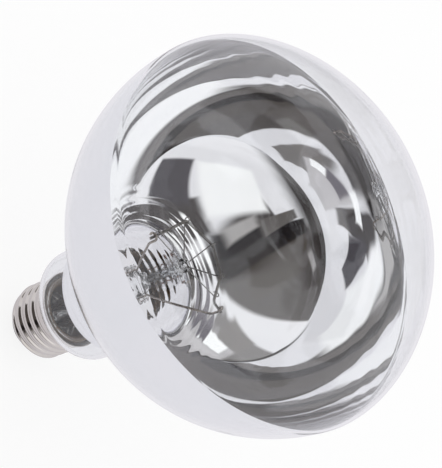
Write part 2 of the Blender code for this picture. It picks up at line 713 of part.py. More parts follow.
def make_lead(name, centre, along, side):
    """Run a lead from the press up to the filament's end, and hook it over the end.

    centre is the middle of the hook, and along the direction of the filament there.
    """
    inward = UP.cross(along) * side
    foot = Vector((0.0, side * LEAD_SEAT_OFFSET, PRESS_SHOULDER - LEAD_SEAT_DEPTH + CLEARANCE))
    exit_point = Vector((0.0, side * LEAD_SEAT_OFFSET, PRESS_SHOULDER + LEAD_RISE))
    curl = hook(centre, inward, UP, LEAD_HOOK_RADIUS, 0.0, LEAD_HOOK_SWEEP)
    knee = curl[0] - UP * LEAD_KNEE_DROP
    path = bend([foot, exit_point, knee, curl[0]], LEAD_BEND)
    return wire("lead_wire_" + name, path + curl[1:], LEAD_RADIUS, NICKEL_WIRE)


def make_leads():
    """Run both leads: one to the filament's leg and one to its last corner."""
    leg_direction = radial(FILAMENT_CORNER_ANGLES[0])
    leg_place = corner(FILAMENT_CORNER_ANGLES[0]) + leg_direction * LEAD_HOOK_REACH
    make_lead("a", leg_place, -leg_direction, 1.0)
    make_lead("b", corner(FILAMENT_CORNER_ANGLES[-1]), -tail_direction(), -1.0)


def make_outer_leads():
    """Run one lead down to the centre contact and one out to the shell's rim."""
    top = STEM_BORE_TOP + OUTER_LEAD_SEAT_DEPTH - CLEARANCE
    below_tip = (NECK_END + INSULATOR_TOP) / 2.0
    centre_path = [(0.0, OUTER_LEAD_OFFSET, top), (0.0, OUTER_LEAD_OFFSET, EXHAUST_TIP),
                   (0.0, 0.0, below_tip), (0.0, 0.0, SOLDER_HEIGHT / 2.0 + CLEARANCE)]
    wire("outer_lead_centre", bend(centre_path, NECK_END_GAP), OUTER_LEAD_RADIUS, COPPER)
    channel = -(NECK_SEAT_RADIUS + THREAD_MINOR_RADIUS - SHELL_WALL) / 2.0
    height = side_wire_height()
    turn = height - NECK_SEAT_FILLET / 2.0
    low = NECK_END - OUTER_LEAD_RADIUS - 2.0 * CLEARANCE
    side_path = [(0.0, -OUTER_LEAD_OFFSET, top), (0.0, -OUTER_LEAD_OFFSET, EXHAUST_TIP),
                 (-OUTER_LEAD_OFFSET, -OUTER_LEAD_OFFSET / 2.0, low), (channel, 0.0, low),
                 (channel, 0.0, turn), (channel - NECK_SEAT_FILLET / 4.0, 0.0, height),
                 (-RIM_RADIUS - 2.0 * CLEARANCE, 0.0, height)]
    wire("outer_lead_side", bend(side_path, 2.0 * OUTER_LEAD_RADIUS), OUTER_LEAD_RADIUS, COPPER)


def main():
    """Build every piece of the bulb, from the cap up to the filament."""
    make_contact()
    make_insulator()
    make_screw_shell()
    make_cement()
    make_side_solder()
    make_envelope()
    make_coating()
    make_stem()
    make_exhaust_tube()
    make_rod()
    make_filament()
    make_supports()
    make_leads()
    make_outer_leads()


main()
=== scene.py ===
"""Dresses the heat lamp bulb: glass, silvering, rolled cap, pinched stem and coiled filament."""

import json
import logging
import math
from collections.abc import Callable, Sequence
from dataclasses import dataclass
from enum import Enum

import bmesh
import bpy
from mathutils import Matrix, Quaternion, Vector, noise

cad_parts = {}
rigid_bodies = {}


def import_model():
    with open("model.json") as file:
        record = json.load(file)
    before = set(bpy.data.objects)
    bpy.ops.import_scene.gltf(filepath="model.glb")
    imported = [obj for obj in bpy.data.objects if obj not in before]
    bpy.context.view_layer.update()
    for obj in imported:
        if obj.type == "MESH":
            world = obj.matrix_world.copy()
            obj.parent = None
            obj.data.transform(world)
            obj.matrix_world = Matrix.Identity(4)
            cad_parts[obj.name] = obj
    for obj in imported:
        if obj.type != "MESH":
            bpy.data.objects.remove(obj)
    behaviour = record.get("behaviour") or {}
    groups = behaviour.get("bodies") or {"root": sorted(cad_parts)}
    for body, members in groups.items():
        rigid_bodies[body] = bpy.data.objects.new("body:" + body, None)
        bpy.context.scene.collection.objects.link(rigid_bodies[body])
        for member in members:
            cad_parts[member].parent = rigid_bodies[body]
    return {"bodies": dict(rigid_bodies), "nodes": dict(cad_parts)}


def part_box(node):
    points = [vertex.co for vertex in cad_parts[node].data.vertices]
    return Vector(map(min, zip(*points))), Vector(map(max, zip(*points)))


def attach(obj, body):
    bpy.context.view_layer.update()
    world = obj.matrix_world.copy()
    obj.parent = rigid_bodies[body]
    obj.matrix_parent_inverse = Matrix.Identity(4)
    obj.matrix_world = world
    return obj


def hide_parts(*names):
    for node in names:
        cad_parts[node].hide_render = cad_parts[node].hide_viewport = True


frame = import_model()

LOG = logging.getLogger("heat_lamp_bulb")
WELD_DISTANCE = 1e-6
SHARP_ANGLE = 40.0
TURN_STEPS = 180
CORNER_SHARE = 0.45
UP = Vector((0.0, 0.0, 1.0))
WHITE = (1.0, 1.0, 1.0, 1.0)
Point = tuple[float, float]
Ring = tuple[float, Callable[[float], float]]


class Slot(Enum):
    """Material slots of the record, one named for each piece."""

    CLEAR_GLASS = "clear_glass"
    SILVERING = "silvering"
    NICKEL_PLATE = "nickel_plate"
    BLACK_GLASS = "black_glass"
    BRASS = "brass"
    SOLDER = "solder"
    CEMENT = "cement"
    STEM_GLASS = "stem_glass"
    TUNGSTEN = "tungsten"
    MOLYBDENUM = "molybdenum"
    NICKEL_WIRE = "nickel_wire"
    COPPER_WIRE = "copper_wire"


def linear(code: str) -> tuple[float, float, float, float]:
    """Turn an sRGB hex colour into linear values.

    Args:
        code: Six hex digits after a hash sign.

    Returns:
        Linear red, green and blue, and an alpha of 1.
    """
    levels = [int(code[start:start + 2], 16) / 255.0 for start in (1, 3, 5)]
    red, green, blue = (level / 12.92 if level <= 0.04045 else ((level + 0.055) / 1.055) ** 2.4
                        for level in levels)
    return red, green, blue, 1.0


def add_node(tree: bpy.types.NodeTree, kind: str, inputs: dict | None = None,
             **settings: object) -> bpy.types.Node:
    """Add one node, set its properties and fill or link its inputs.

    Args:
        tree: Node tree that gets the node.
        kind: Blender's type name of the node.
        inputs: Value or output socket for each input, by the input's name or index.
        **settings: The node's own properties.

    Returns:
        The new node.
    """
    node = tree.nodes.new(kind)
    for name, value in settings.items():
        setattr(node, name, value)
    for key, value in (inputs or {}).items():
        if isinstance(value, bpy.types.NodeSocket):
            tree.links.new(value, node.inputs[key])
        else:
            node.inputs[key].default_value = value
    return node


def seen_share(tree: bpy.types.NodeTree, rays: bpy.types.Node) -> bpy.types.NodeSocket:
    """Add the nodes that tell what is seen, mirrored or seen through glass from what only lights.

    Args:
        tree: Node tree that gets the nodes.
        rays: Its Light Path node.

    Returns:
        1 for a ray that shows a surface, and 0 for one that only gathers light.
    """
    mirrored = add_node(tree, "ShaderNodeMath", {0: rays.outputs["Is Glossy Ray"],
                                                 1: rays.outputs["Is Transmission Ray"]},
                        operation="MAXIMUM")
    shown = add_node(tree, "ShaderNodeMath", {0: rays.outputs["Is Camera Ray"],
                                              1: mirrored.outputs[0]}, operation="MAXIMUM")
    return shown.outputs[0]


@dataclass(frozen=True)
class Grain:
    """A noise pattern on Object coordinates, sized in metres.

    Args:
        size: Distance between the pattern's bumps.
        depth: Height of the bumps for the shading, 0 for none.
        detail: Octaves of finer noise.
        stretch: Factors that squeeze the pattern along each axis.
    """

    size: float
    depth: float = 0.0
    detail: float = 2.0
    stretch: tuple[float, float, float] = (1.0, 1.0, 1.0)

    def noise(self, tree: bpy.types.NodeTree) -> bpy.types.NodeSocket:
        """Add the pattern's nodes.

        Args:
            tree: Material's node tree.

        Returns:
            The noise value.
        """
        place = add_node(tree, "ShaderNodeTexCoord")
        squeezed = add_node(tree, "ShaderNodeMapping", {"Vector": place.outputs["Object"],
                                                        "Scale": self.stretch})
        pattern = add_node(tree, "ShaderNodeTexNoise", {
            "Vector": squeezed.outputs["Vector"], "Scale": 1.0 / self.size,
            "Detail": self.detail})
        return pattern.outputs["Fac"]

    def bump(self, tree: bpy.types.NodeTree, height: bpy.types.NodeSocket) -> bpy.types.NodeSocket:
        """Turn a noise value into a normal.

        Args:
            tree: Material's node tree.
            height: Noise value.

        Returns:
            Normal for the shader.
        """
        relief = add_node(tree, "ShaderNodeBump", {"Height": height, "Distance": self.depth,
                                                   "Strength": 1.0})
        return relief.outputs["Normal"]


@dataclass(frozen=True)
class Finish:
    """One surface finish: two colours mixed by a grain, a roughness range and a relief.

    Args:
        name: Name of the material.
        colour: Main colour, sRGB hex.
        second: Colour in the grain's hollows, sRGB hex.
        roughness: Lowest and highest roughness.
        metallic: 1 for a metal, 0 otherwise.
        grain: Pattern that drives colour and roughness.
        relief: Pattern that drives the normal, if any.
        transmission: 1 for clear glass, 0 otherwise.
        ior: Index of refraction of what isn't metal.
    """

    name: str
    colour: str
    second: str
    roughness: tuple[float, float]
    grain: Grain
    relief: Grain | None = None
    metallic: float = 0.0
    transmission: float = 0.0
    ior: float = 1.5

    def material(self) -> bpy.types.Material:
        """Build the material.

        Returns:
            The new material, or the one of that name if it exists.
        """
        known = bpy.data.materials.get(self.name)
        if known is not None:
            return known
        made = bpy.data.materials.new(self.name)
        made.use_nodes = True
        made.diffuse_color = linear(self.colour)
        tree = made.node_tree
        shader = tree.nodes["Principled BSDF"]
        shader.inputs["Metallic"].default_value = self.metallic
        shader.inputs["Transmission Weight"].default_value = self.transmission
        if not self.metallic:
            shader.inputs["IOR"].default_value = self.ior
        value = self.grain.noise(tree)
        colours = add_node(tree, "ShaderNodeMix", {"Factor": value, "A": linear(self.second),
                                                   "B": linear(self.colour)}, data_type="RGBA")
        tree.links.new(colours.outputs["Result"], shader.inputs["Base Color"])
        lowest, highest = self.roughness
        gloss = add_node(tree, "ShaderNodeMapRange", {"Value": value, "To Min": lowest,
                                                      "To Max": highest})
        tree.links.new(gloss.outputs["Result"], shader.inputs["Roughness"])
        if self.relief is not None:
            normal = self.relief.bump(tree, self.relief.noise(tree))
            tree.links.new(normal, shader.inputs["Normal"])
        return made


# Soda-lime glass blown in a turning mould: clear, glossy, with slow waves in its surface.
BLOWN_GLASS = Finish("blown_soda_lime_glass", "#FFFFFF", "#FBFDFD", (0.0, 0.0), Grain(0.030),
                     relief=Grain(0.022, 0.00002, 0.0), transmission=1.0, ior=1.5)
# Aluminium evaporated onto the inside of the glass: a bright mirror with a faint cool cast.
VAPOUR_ALUMINIUM = Finish("evaporated_aluminium", "#F8F8F9", "#F5F5F7", (0.0, 0.02),
                          Grain(0.012), metallic=1.0)
# Nickel plate over rolled brass sheet: warm, half bright, with wiped marks round the shell, which
# are drawn coarser than real ones so that they show.
NICKEL_PLATE = Finish("nickel_plated_brass", "#DDD9D6", "#C5BFBA", (0.05, 0.13),
                      Grain(0.006, detail=4.0, stretch=(1.0, 1.0, 3.0)),
                      relief=Grain(0.0011, 0.000006, 3.0, (1.0, 1.0, 4.0)), metallic=1.0)
# Black glass pressed hot into the shell's mouth: deep gloss with a faint orange peel.
PRESSED_BLACK_GLASS = Finish("pressed_black_glass", "#0E0E10", "#17161A", (0.05, 0.14),
                             Grain(0.004), relief=Grain(0.0016, 0.00003, 1.0), ior=1.52)
# Brass strip, stamped: yellow metal with a dull die-struck face.
STAMPED_BRASS = Finish("stamped_brass", "#DCC088", "#B99A5E", (0.22, 0.38),
                       Grain(0.003, detail=4.0), relief=Grain(0.0006, 0.00001), metallic=1.0)
# Tin solder, dropped on and set by itself: soft grey with a slightly wrinkled skin.
TIN_SOLDER = Finish("tin_solder", "#CFCFD3", "#9C9CA2", (0.24, 0.5), Grain(0.0012, detail=4.0),
                    relief=Grain(0.0008, 0.00006, 3.0), metallic=1.0)
# Baked basing cement of marble flour and resin: matt brown with fine grit, drawn coarser than
# real grit so that it shows.
BASING_CEMENT = Finish("baked_basing_cement", "#BE9A72", "#937552", (0.85, 0.98),
                       Grain(0.0009, detail=6.0), relief=Grain(0.0006, 0.00012, 5.0))
# Lead glass tube and rod, drawn and pinched in the flame: clear, with drawn ripples.
DRAWN_GLASS = Finish("drawn_lead_glass", "#FFFFFF", "#F3F5F6", (0.0, 0.03), Grain(0.003),
                     relief=Grain(0.0022, 0.00010, 2.0), transmission=1.0, ior=1.56)
# Tungsten wire, drawn and coiled: dull silver grey.
COILED_TUNGSTEN = Finish("coiled_tungsten", "#C2BEBB", "#98938F", (0.28, 0.42), Grain(0.0015),
                         metallic=1.0)
# Molybdenum wire, drawn fine: cool silver grey.
DRAWN_MOLYBDENUM = Finish("drawn_molybdenum", "#C4C2C1", "#9C9896", (0.22, 0.36), Grain(0.0012),
                          metallic=1.0)
# Nickel wire, drawn: warm and brighter than the molybdenum.
DRAWN_NICKEL = Finish("drawn_nickel", "#CFC8C2", "#A69C94", (0.18, 0.32), Grain(0.0015),
                      metallic=1.0)
# Copper-clad wire, left bare: reddish, browned by the flame.
COPPER_CLAD = Finish("copper_clad_wire", "#B89281", "#7A5C50", (0.25, 0.45), Grain(0.0020),
                     metallic=1.0)


def superellipse(centre: Point, semi_axes: Point, exponents: Point, count: int) -> list[Point]:
    """Points of a quarter superellipse, from its widest point to its pole.

    Args:
        centre: Radius and height of the middle.
        semi_axes: Reach along radius and height; a negative height turns it down.
        exponents: Exponents along radius and height.
        count: Number of steps.

    Returns:
        The (radius, height) points.
    """
    points = []
    for index in range(count + 1):
        angle = 0.5 * math.pi * index / count
        across = max(math.cos(angle), 0.0) ** (2.0 / exponents[0])
        along = math.sin(angle) ** (2.0 / exponents[1])
        points.append((centre[0] + semi_axes[0] * across, centre[1] + semi_axes[1] * along))
    return points


def ellipse_arc(centre: Point, semi_axes: Point, start: float, end: float,
                count: int) -> list[Point]:
    """Points of an ellipse's arc.

    Args:
        centre: Radius and height of the middle.
        semi_axes: Reach along radius and height.
        start: First angle in degrees.
        end: Last angle in degrees.
        count: Number of steps.

    Returns:
        The (radius, height) points.
    """
    points = []
    for index in range(count + 1):
        angle = math.radians(start + (end - start) * index / count)
        points.append((centre[0] + semi_axes[0] * math.cos(angle),
                       centre[1] + semi_axes[1] * math.sin(angle)))
    return points


def straight_run(start: Point, end: Point, count: int) -> list[Point]:
    """Evenly spaced points of a straight run, with both its ends.

    Args:
        start: Radius and height of the first point.
        end: Radius and height of the last point.
        count: Number of steps.

    Returns:
        The (radius, height) points.
    """
    return [(start[0] + (end[0] - start[0]) * index / count,
             start[1] + (end[1] - start[1]) * index / count) for index in range(count + 1)]


def inset(outline: Sequence[Point], distance: float) -> list[Point]:
    """Move an open top-to-bottom outline inwards by an even distance.

    Args:
        outline: The (radius, height) points, down the outer side.
        distance: How far to move it.

    Returns:
        The moved points, none of them past the axis.
    """
    moved = []
    last = len(outline) - 1
    for index, (radius, height) in enumerate(outline):
        before = Vector(outline[max(index - 1, 0)])
        after = Vector(outline[min(index + 1, last)])
        along = (after - before).normalized()
        moved.append((max(radius + along.y * distance, 0.0), height - along.x * distance))
    moved[0] = (0.0 if outline[0][0] == 0.0 else moved[0][0], moved[0][1])
    return moved


def radius_at(outline: Sequence[Point], height: float) -> float:
    """Radius of a top-to-bottom outline at one height.

    Args:
        outline: The (radius, height) points, each lower than the one before.
        height: Height to look up.

    Returns:
        The radius, or an end point's radius for a height past that end.
    """
    for (upper_radius, upper), (lower_radius, lower) in zip(outline, outline[1:]):
        if height > lower:
            share = min((height - lower) / (upper - lower), 1.0)
            return lower_radius + (upper_radius - lower_radius) * share
    return outline[-1][0]


def turned(outline: Sequence[Point], closed: bool = False,
           steps: int = TURN_STEPS) -> bmesh.types.BMesh:
    """Spin an outline round the axis, with its seam and poles closed.

    Args:
        outline: The (radius, height) points.
        closed: True to join the last point to the first.
        steps: Steps of the full turn.

    Returns:
        The turned shape, facing outwards.
    """
    shape = bmesh.new()
    corners = [shape.verts.new((radius, 0.0, height)) for radius, height in outline]
    for first, second in zip(corners, corners[1:]):
        shape.edges.new((first, second))
    if closed:
        shape.edges.new((corners[-1], corners[0]))
    bmesh.ops.spin(shape, geom=shape.verts[:] + shape.edges[:], cent=(0.0, 0.0, 0.0),
                   axis=UP, dvec=(0.0, 0.0, 0.0), angle=2.0 * math.pi, steps=steps,
                   use_merge=True, use_duplicate=False)
    bmesh.ops.remove_doubles(shape, verts=shape.verts, dist=WELD_DISTANCE)
    bmesh.ops.recalc_face_normals(shape, faces=shape.faces)
    return shape


def present(shape: bmesh.types.BMesh, name: str, finish: Finish, slot: Slot,
            *nodes: str) -> bpy.types.Object:
    """Turn a bmesh into a shown piece that rides on the bulb.

    Args:
        shape: The finished shape, which is freed.
        name: Name of the piece.
        finish: Its surface finish.
        slot: The record's slot for it; not used.
        *nodes: CAD nodes that it stands for.

    Returns:
        The new object.
    """
    mesh = bpy.data.meshes.new(name)
    shape.to_mesh(mesh)
    shape.free()
    mesh.materials.append(finish.material())
    mesh.shade_smooth()
    mesh.set_sharp_from_angle(angle=math.radians(SHARP_ANGLE))
    piece = bpy.data.objects.new(name, mesh)
    bpy.context.scene.collection.objects.link(piece)
    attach(piece, next(iter(frame["bodies"])))
    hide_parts(*nodes)
    LOG.info("%s: %d faces, for %s", name, len(mesh.polygons), ", ".join(nodes))
    return piece


def bowed(points: Sequence[Vector], radius: float, count: int = 8) -> list[Vector]:
    """Round the inner corners of a path with arcs.

    Args:
        points: Corners of the path.
        radius: How far from a corner its arc starts.
        count: Steps of each arc.

    Returns:
        The rounded path.
    """
    path = [points[0].copy()]
    for before, corner, after in zip(points, points[1:], points[2:]):
        to_before = before - corner
        to_after = after - corner
        reach = min(radius, CORNER_SHARE * to_before.length, CORNER_SHARE * to_after.length)
        start = corner + to_before.normalized() * reach
        end = corner + to_after.normalized() * reach
        for index in range(count + 1):
            share = index / count
            path.append(start.lerp(corner, share).lerp(corner.lerp(end, share), share))
    path.append(points[-1].copy())
    return path


def drawn_wire(path: Sequence[Vector], radius: float, resolution: int = 4) -> bmesh.types.BMesh:
    """Draw a round wire along a path, with filled and welded ends.

    Args:
        path: Points along its middle.
        radius: Radius of the wire.
        resolution: Bevel resolution of the curve that draws it.

    Returns:
        The wire's shape.
    """
    curve = bpy.data.curves.new("wire", "CURVE")
    curve.dimensions = "3D"
    curve.bevel_depth = radius
    curve.bevel_resolution = resolution
    curve.use_fill_caps = True
    spline = curve.splines.new("POLY")
    spline.points.add(len(path) - 1)
    for knot, place in zip(spline.points, path):
        knot.co = (*place, 1.0)
    guide = bpy.data.objects.new("wire", curve)
    bpy.context.scene.collection.objects.link(guide)
    bpy.context.view_layer.update()
    depsgraph = bpy.context.evaluated_depsgraph_get()
    drawn = bpy.data.meshes.new_from_object(guide.evaluated_get(depsgraph))
    bpy.data.objects.remove(guide)
    bpy.data.curves.remove(curve)
    shape = bmesh.new()
    shape.from_mesh(drawn)
    bpy.data.meshes.remove(drawn)
    bmesh.ops.remove_doubles(shape, verts=shape.verts, dist=WELD_DISTANCE)
    bmesh.ops.recalc_face_normals(shape, faces=shape.faces)
    return shape


def smooth_step(value: float) -> float:
    """Ease a share from 0 to 1, flat at both ends."""
    value = min(max(value, 0.0), 1.0)
    return value * value * (3.0 - 2.0 * value)


def radial(angle: float) -> Vector:
    """Unit vector in the horizontal plane at an angle in degrees."""
    return Vector((math.cos(math.radians(angle)), math.sin(math.radians(angle)), 0.0))


@dataclass
class Envelope:
    """The blown glass and its silvering. Sizes in metres, angles in degrees.

    The outside follows the CAD's own heights: the widest point, the waist crease, the neck
    and the round shoulder that sits in the cap.
    """

    wall: float = 0.0011
    neck_radius: float = 0.0192
    neck_length: float = 0.0308
    seat_gap: float = 0.0003
    seat_radius: float = 0.0102
    seat_fillet: float = 0.0020
    shoulder_height: float = 0.0070
    bowl_depth: float = 0.0563
    bowl_foot_fillet: float = 0.0016
    # How many fillet radii from the neck the bowl's curve ends
    bowl_foot_clearance: float = 1.3
    bowl_exponents: Point = (1.712, 2.068)
    dome_exponents: Point = (1.855, 1.597)
    # Steps of the outline's stretches
    dome_steps: int = 44
    bowl_steps: int = 140
    crease_steps: int = 8
    neck_steps: int = 40
    shoulder_steps: int = 24
    seat_steps: int = 6
    # The waves of blowing: at the bowl's foot, in the neck and in the upper wall
    ripple_height: float = 0.00011
    ripple_length: float = 0.0032
    ripple_reach: float = 0.0150
    neck_ripple_height: float = 0.00007
    wall_ripple_height: float = 0.00001
    wall_ripple_length: float = 0.0060
    wall_ripple_reach: float = 0.0300
    # How the waves wander and grow round the glass, as factors
    ripple_drift: float = 4.0
    drift_scale: float = 1.4
    wall_drift: float = 1.5
    swell_scale: float = 1.9
    swell_offset: float = 7.0
    least_strength: float = 0.5
    strength_gain: float = 1.6
    main_wave: float = 0.9
    second_wave: float = 0.2
    second_pace: float = 0.61
    # What lies farther in than this share of the wall is the neck's inside
    inner_share: float = 0.6
    film: float = 0.00005
    film_gap: float = 0.00003
    film_foot_rise: float = 0.0093
    film_edge_rise: float = 0.0019
    film_edge_dip: float = 0.0058
    film_dip_angle: float = -12.0
    film_dip_reach: float = 80.0
    # How far from its edge the film is slid along the glass: rises above it, dips below it
    film_slack: float = 2.0

    def __post_init__(self) -> None:
        """Read the overall heights and radii from the frame."""
        low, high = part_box("glass_envelope")
        self.apex = high.z
        self.neck_end = low.z
        self.bulb_radius = high.x
        self.shoulder_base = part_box("screw_shell")[1].z + self.seat_gap
        self.shoulder_top = self.shoulder_base + self.shoulder_height
        self.bowl_base = self.shoulder_top + self.neck_length
        self.widest = self.bowl_base + self.bowl_depth

    def dome(self) -> list[Point]:
        """Clear face, from its middle to the widest point.

        Returns:
            The (radius, height) points.
        """
        points = superellipse((0.0, self.widest), (self.bulb_radius, self.apex - self.widest),
                              self.dome_exponents, self.dome_steps)
        points.reverse()
        points[0] = (0.0, self.apex)
        return points

    def bowl(self) -> list[Point]:
        """Bowl below the widest point, down to its crease.

        Returns:
            The (radius, height) points.
        """
        spread = self.bulb_radius - self.neck_radius
        points = superellipse((self.neck_radius, self.widest), (spread, -self.bowl_depth),
                              self.bowl_exponents, self.bowl_steps)
        foot_radius = self.neck_radius + self.bowl_foot_clearance * self.bowl_foot_fillet
        return [place for place in points[1:] if place[0] > foot_radius]

    def neck(self) -> list[Point]:
        """Crease fillet, straight neck and round shoulder.

        Returns:
            The (radius, height) points.
        """
        fillet = self.bowl_foot_fillet
        crease = ellipse_arc((self.neck_radius + fillet, self.bowl_base - fillet),
                             (fillet, fillet), 90.0, 180.0, self.crease_steps)
        straight = straight_run((self.neck_radius, crease[-1][1]),
                                (self.neck_radius, self.shoulder_top), self.neck_steps)
        seat_centre = self.seat_radius + self.seat_fillet
        shoulder = ellipse_arc((seat_centre, self.shoulder_top),
                               (self.neck_radius - seat_centre, self.shoulder_height),
                               0.0, -90.0, self.shoulder_steps)
        return crease + straight[1:-1] + shoulder

    def seat(self) -> list[Point]:
        """Narrow end of the neck that the cement holds.

        Returns:
            The (radius, height) points.
        """
        fillet = self.seat_fillet
        curve = ellipse_arc((self.seat_radius + fillet, self.shoulder_base - fillet),
                            (fillet, fillet), 90.0, 180.0, self.seat_steps)
        return curve[1:] + [(self.seat_radius, self.neck_end)]

    def swing(self, distance: float, drift: float) -> float:
        """Sum of a main wave and a longer second one, at a distance along the glass."""
        phase = 2.0 * math.pi / self.ripple_length * distance
        return (self.main_wave * math.sin(phase + drift)
                + self.second_wave * math.sin(self.second_pace * phase - drift))

    def ripple(self, shape: bmesh.types.BMesh) -> None:
        """Leave the slow waves of blowing in the neck, the bowl's foot and its upper wall.

        Args:
            shape: The glass or the film, which follow the same waves.
        """
        crease = self.bowl_base - self.bowl_foot_fillet
        film_foot = self.shoulder_top + self.film_foot_rise
        inner = self.neck_radius - self.inner_share * self.wall
        for vertex in shape.verts:
            place = vertex.co
            radius = place.xy.length
            if not film_foot <= place.z <= self.widest:
                continue
            bearing = Vector((place.x / radius, place.y / radius, place.z / self.bowl_depth))
            drift = self.ripple_drift * noise.noise(bearing * self.drift_scale)
            swell = noise.noise(bearing * self.swell_scale + UP * self.swell_offset)
            strength = self.least_strength + self.strength_gain * abs(swell)
            # The bowl's foot, where the waves run outwards from the neck
            out = radius - self.neck_radius
            foot_share = smooth_step(out / self.ripple_length)
            foot_share *= smooth_step(1.0 - out / self.ripple_reach)
            foot_wave = self.ripple_height * foot_share * self.swing(out, drift)
            # The inside of the neck, between the crease and the film's foot
            neck_share = 0.0
            if radius < inner:
                neck_share = smooth_step((crease - place.z) / self.ripple_length)
                neck_share *= smooth_step((place.z - film_foot) / self.ripple_length)
            neck_wave = self.neck_ripple_height * neck_share * self.swing(place.z, drift)
            # The upper wall, under the widest point
            below = self.widest - place.z
            wall_share = smooth_step(1.0 - below / self.wall_ripple_reach)
            wall_share *= smooth_step(below / self.wall_ripple_length)
            wall_phase = 2.0 * math.pi * below / self.wall_ripple_length
            sway = math.sin(wall_phase + self.wall_drift * drift)
            wall_wave = self.wall_ripple_height * wall_share * sway
            place.xy *= 1.0 + strength * (neck_wave + wall_wave) / radius
            place.z += strength * foot_wave

    def glass(self) -> None:
        """Blow the glass: outer face down, round the neck's end and back up inside."""
        outside = self.dome() + self.bowl() + self.neck() + self.seat()
        inside = inset(outside, self.wall)
        inside.reverse()
        shape = turned(outside + inside)
        self.ripple(shape)
        present(shape, "blown_envelope", BLOWN_GLASS, Slot.CLEAR_GLASS, "glass_envelope")

    def edge_height(self, angle: float) -> float:
        """Height of the silvering's edge, which is level with one shallow dip.

        Args:
            angle: Angle round the axis in degrees.

        Returns:
            The height.
        """
        away = abs((angle - self.film_dip_angle + 180.0) % 360.0 - 180.0)
        share = smooth_step(1.0 - away / self.film_dip_reach)
        return self.widest + self.film_edge_rise - self.film_edge_dip * share

    def film_face(self, depth: float) -> list[Point]:
        """Outline of one side of the silvering, from its top down to its foot on the neck.

        Args:
            depth: How far it lies inside the glass's outer face.

        Returns:
            The (radius, height) points.
        """
        foot = self.shoulder_top + self.film_foot_rise
        outside = [place for place in self.dome() + self.bowl() + self.neck() if place[1] > foot]
        outside.append((self.neck_radius, foot))
        crest = self.widest + self.film_slack * self.film_edge_rise
        return [place for place in inset(outside, depth) if place[1] < crest]

    def silvering(self) -> None:
        """Lay the film inside the bowl and neck, and slide its top along the glass to its edge."""
        front = self.film_face(self.wall + self.film_gap)
        back = self.film_face(self.wall + self.film_gap + self.film)
        back.reverse()
        shape = turned(front + back, closed=True)
        crest = front[0][1]
        level = self.widest + self.film_edge_rise - self.film_slack * self.film_edge_dip
        for vertex in shape.verts:
            if vertex.co.z > level:
                angle = math.degrees(math.atan2(vertex.co.y, vertex.co.x))
                share = (vertex.co.z - level) / (crest - level)
                height = level + share * (self.edge_height(angle) - level)
                radius = vertex.co.xy.length
                slid = radius + radius_at(front, height) - radius_at(front, vertex.co.z)
                vertex.co.xy *= slid / radius
                vertex.co.z = height
        self.ripple(shape)
        present(shape, "aluminium_film", VAPOUR_ALUMINIUM, Slot.SILVERING, "mirror_coating")


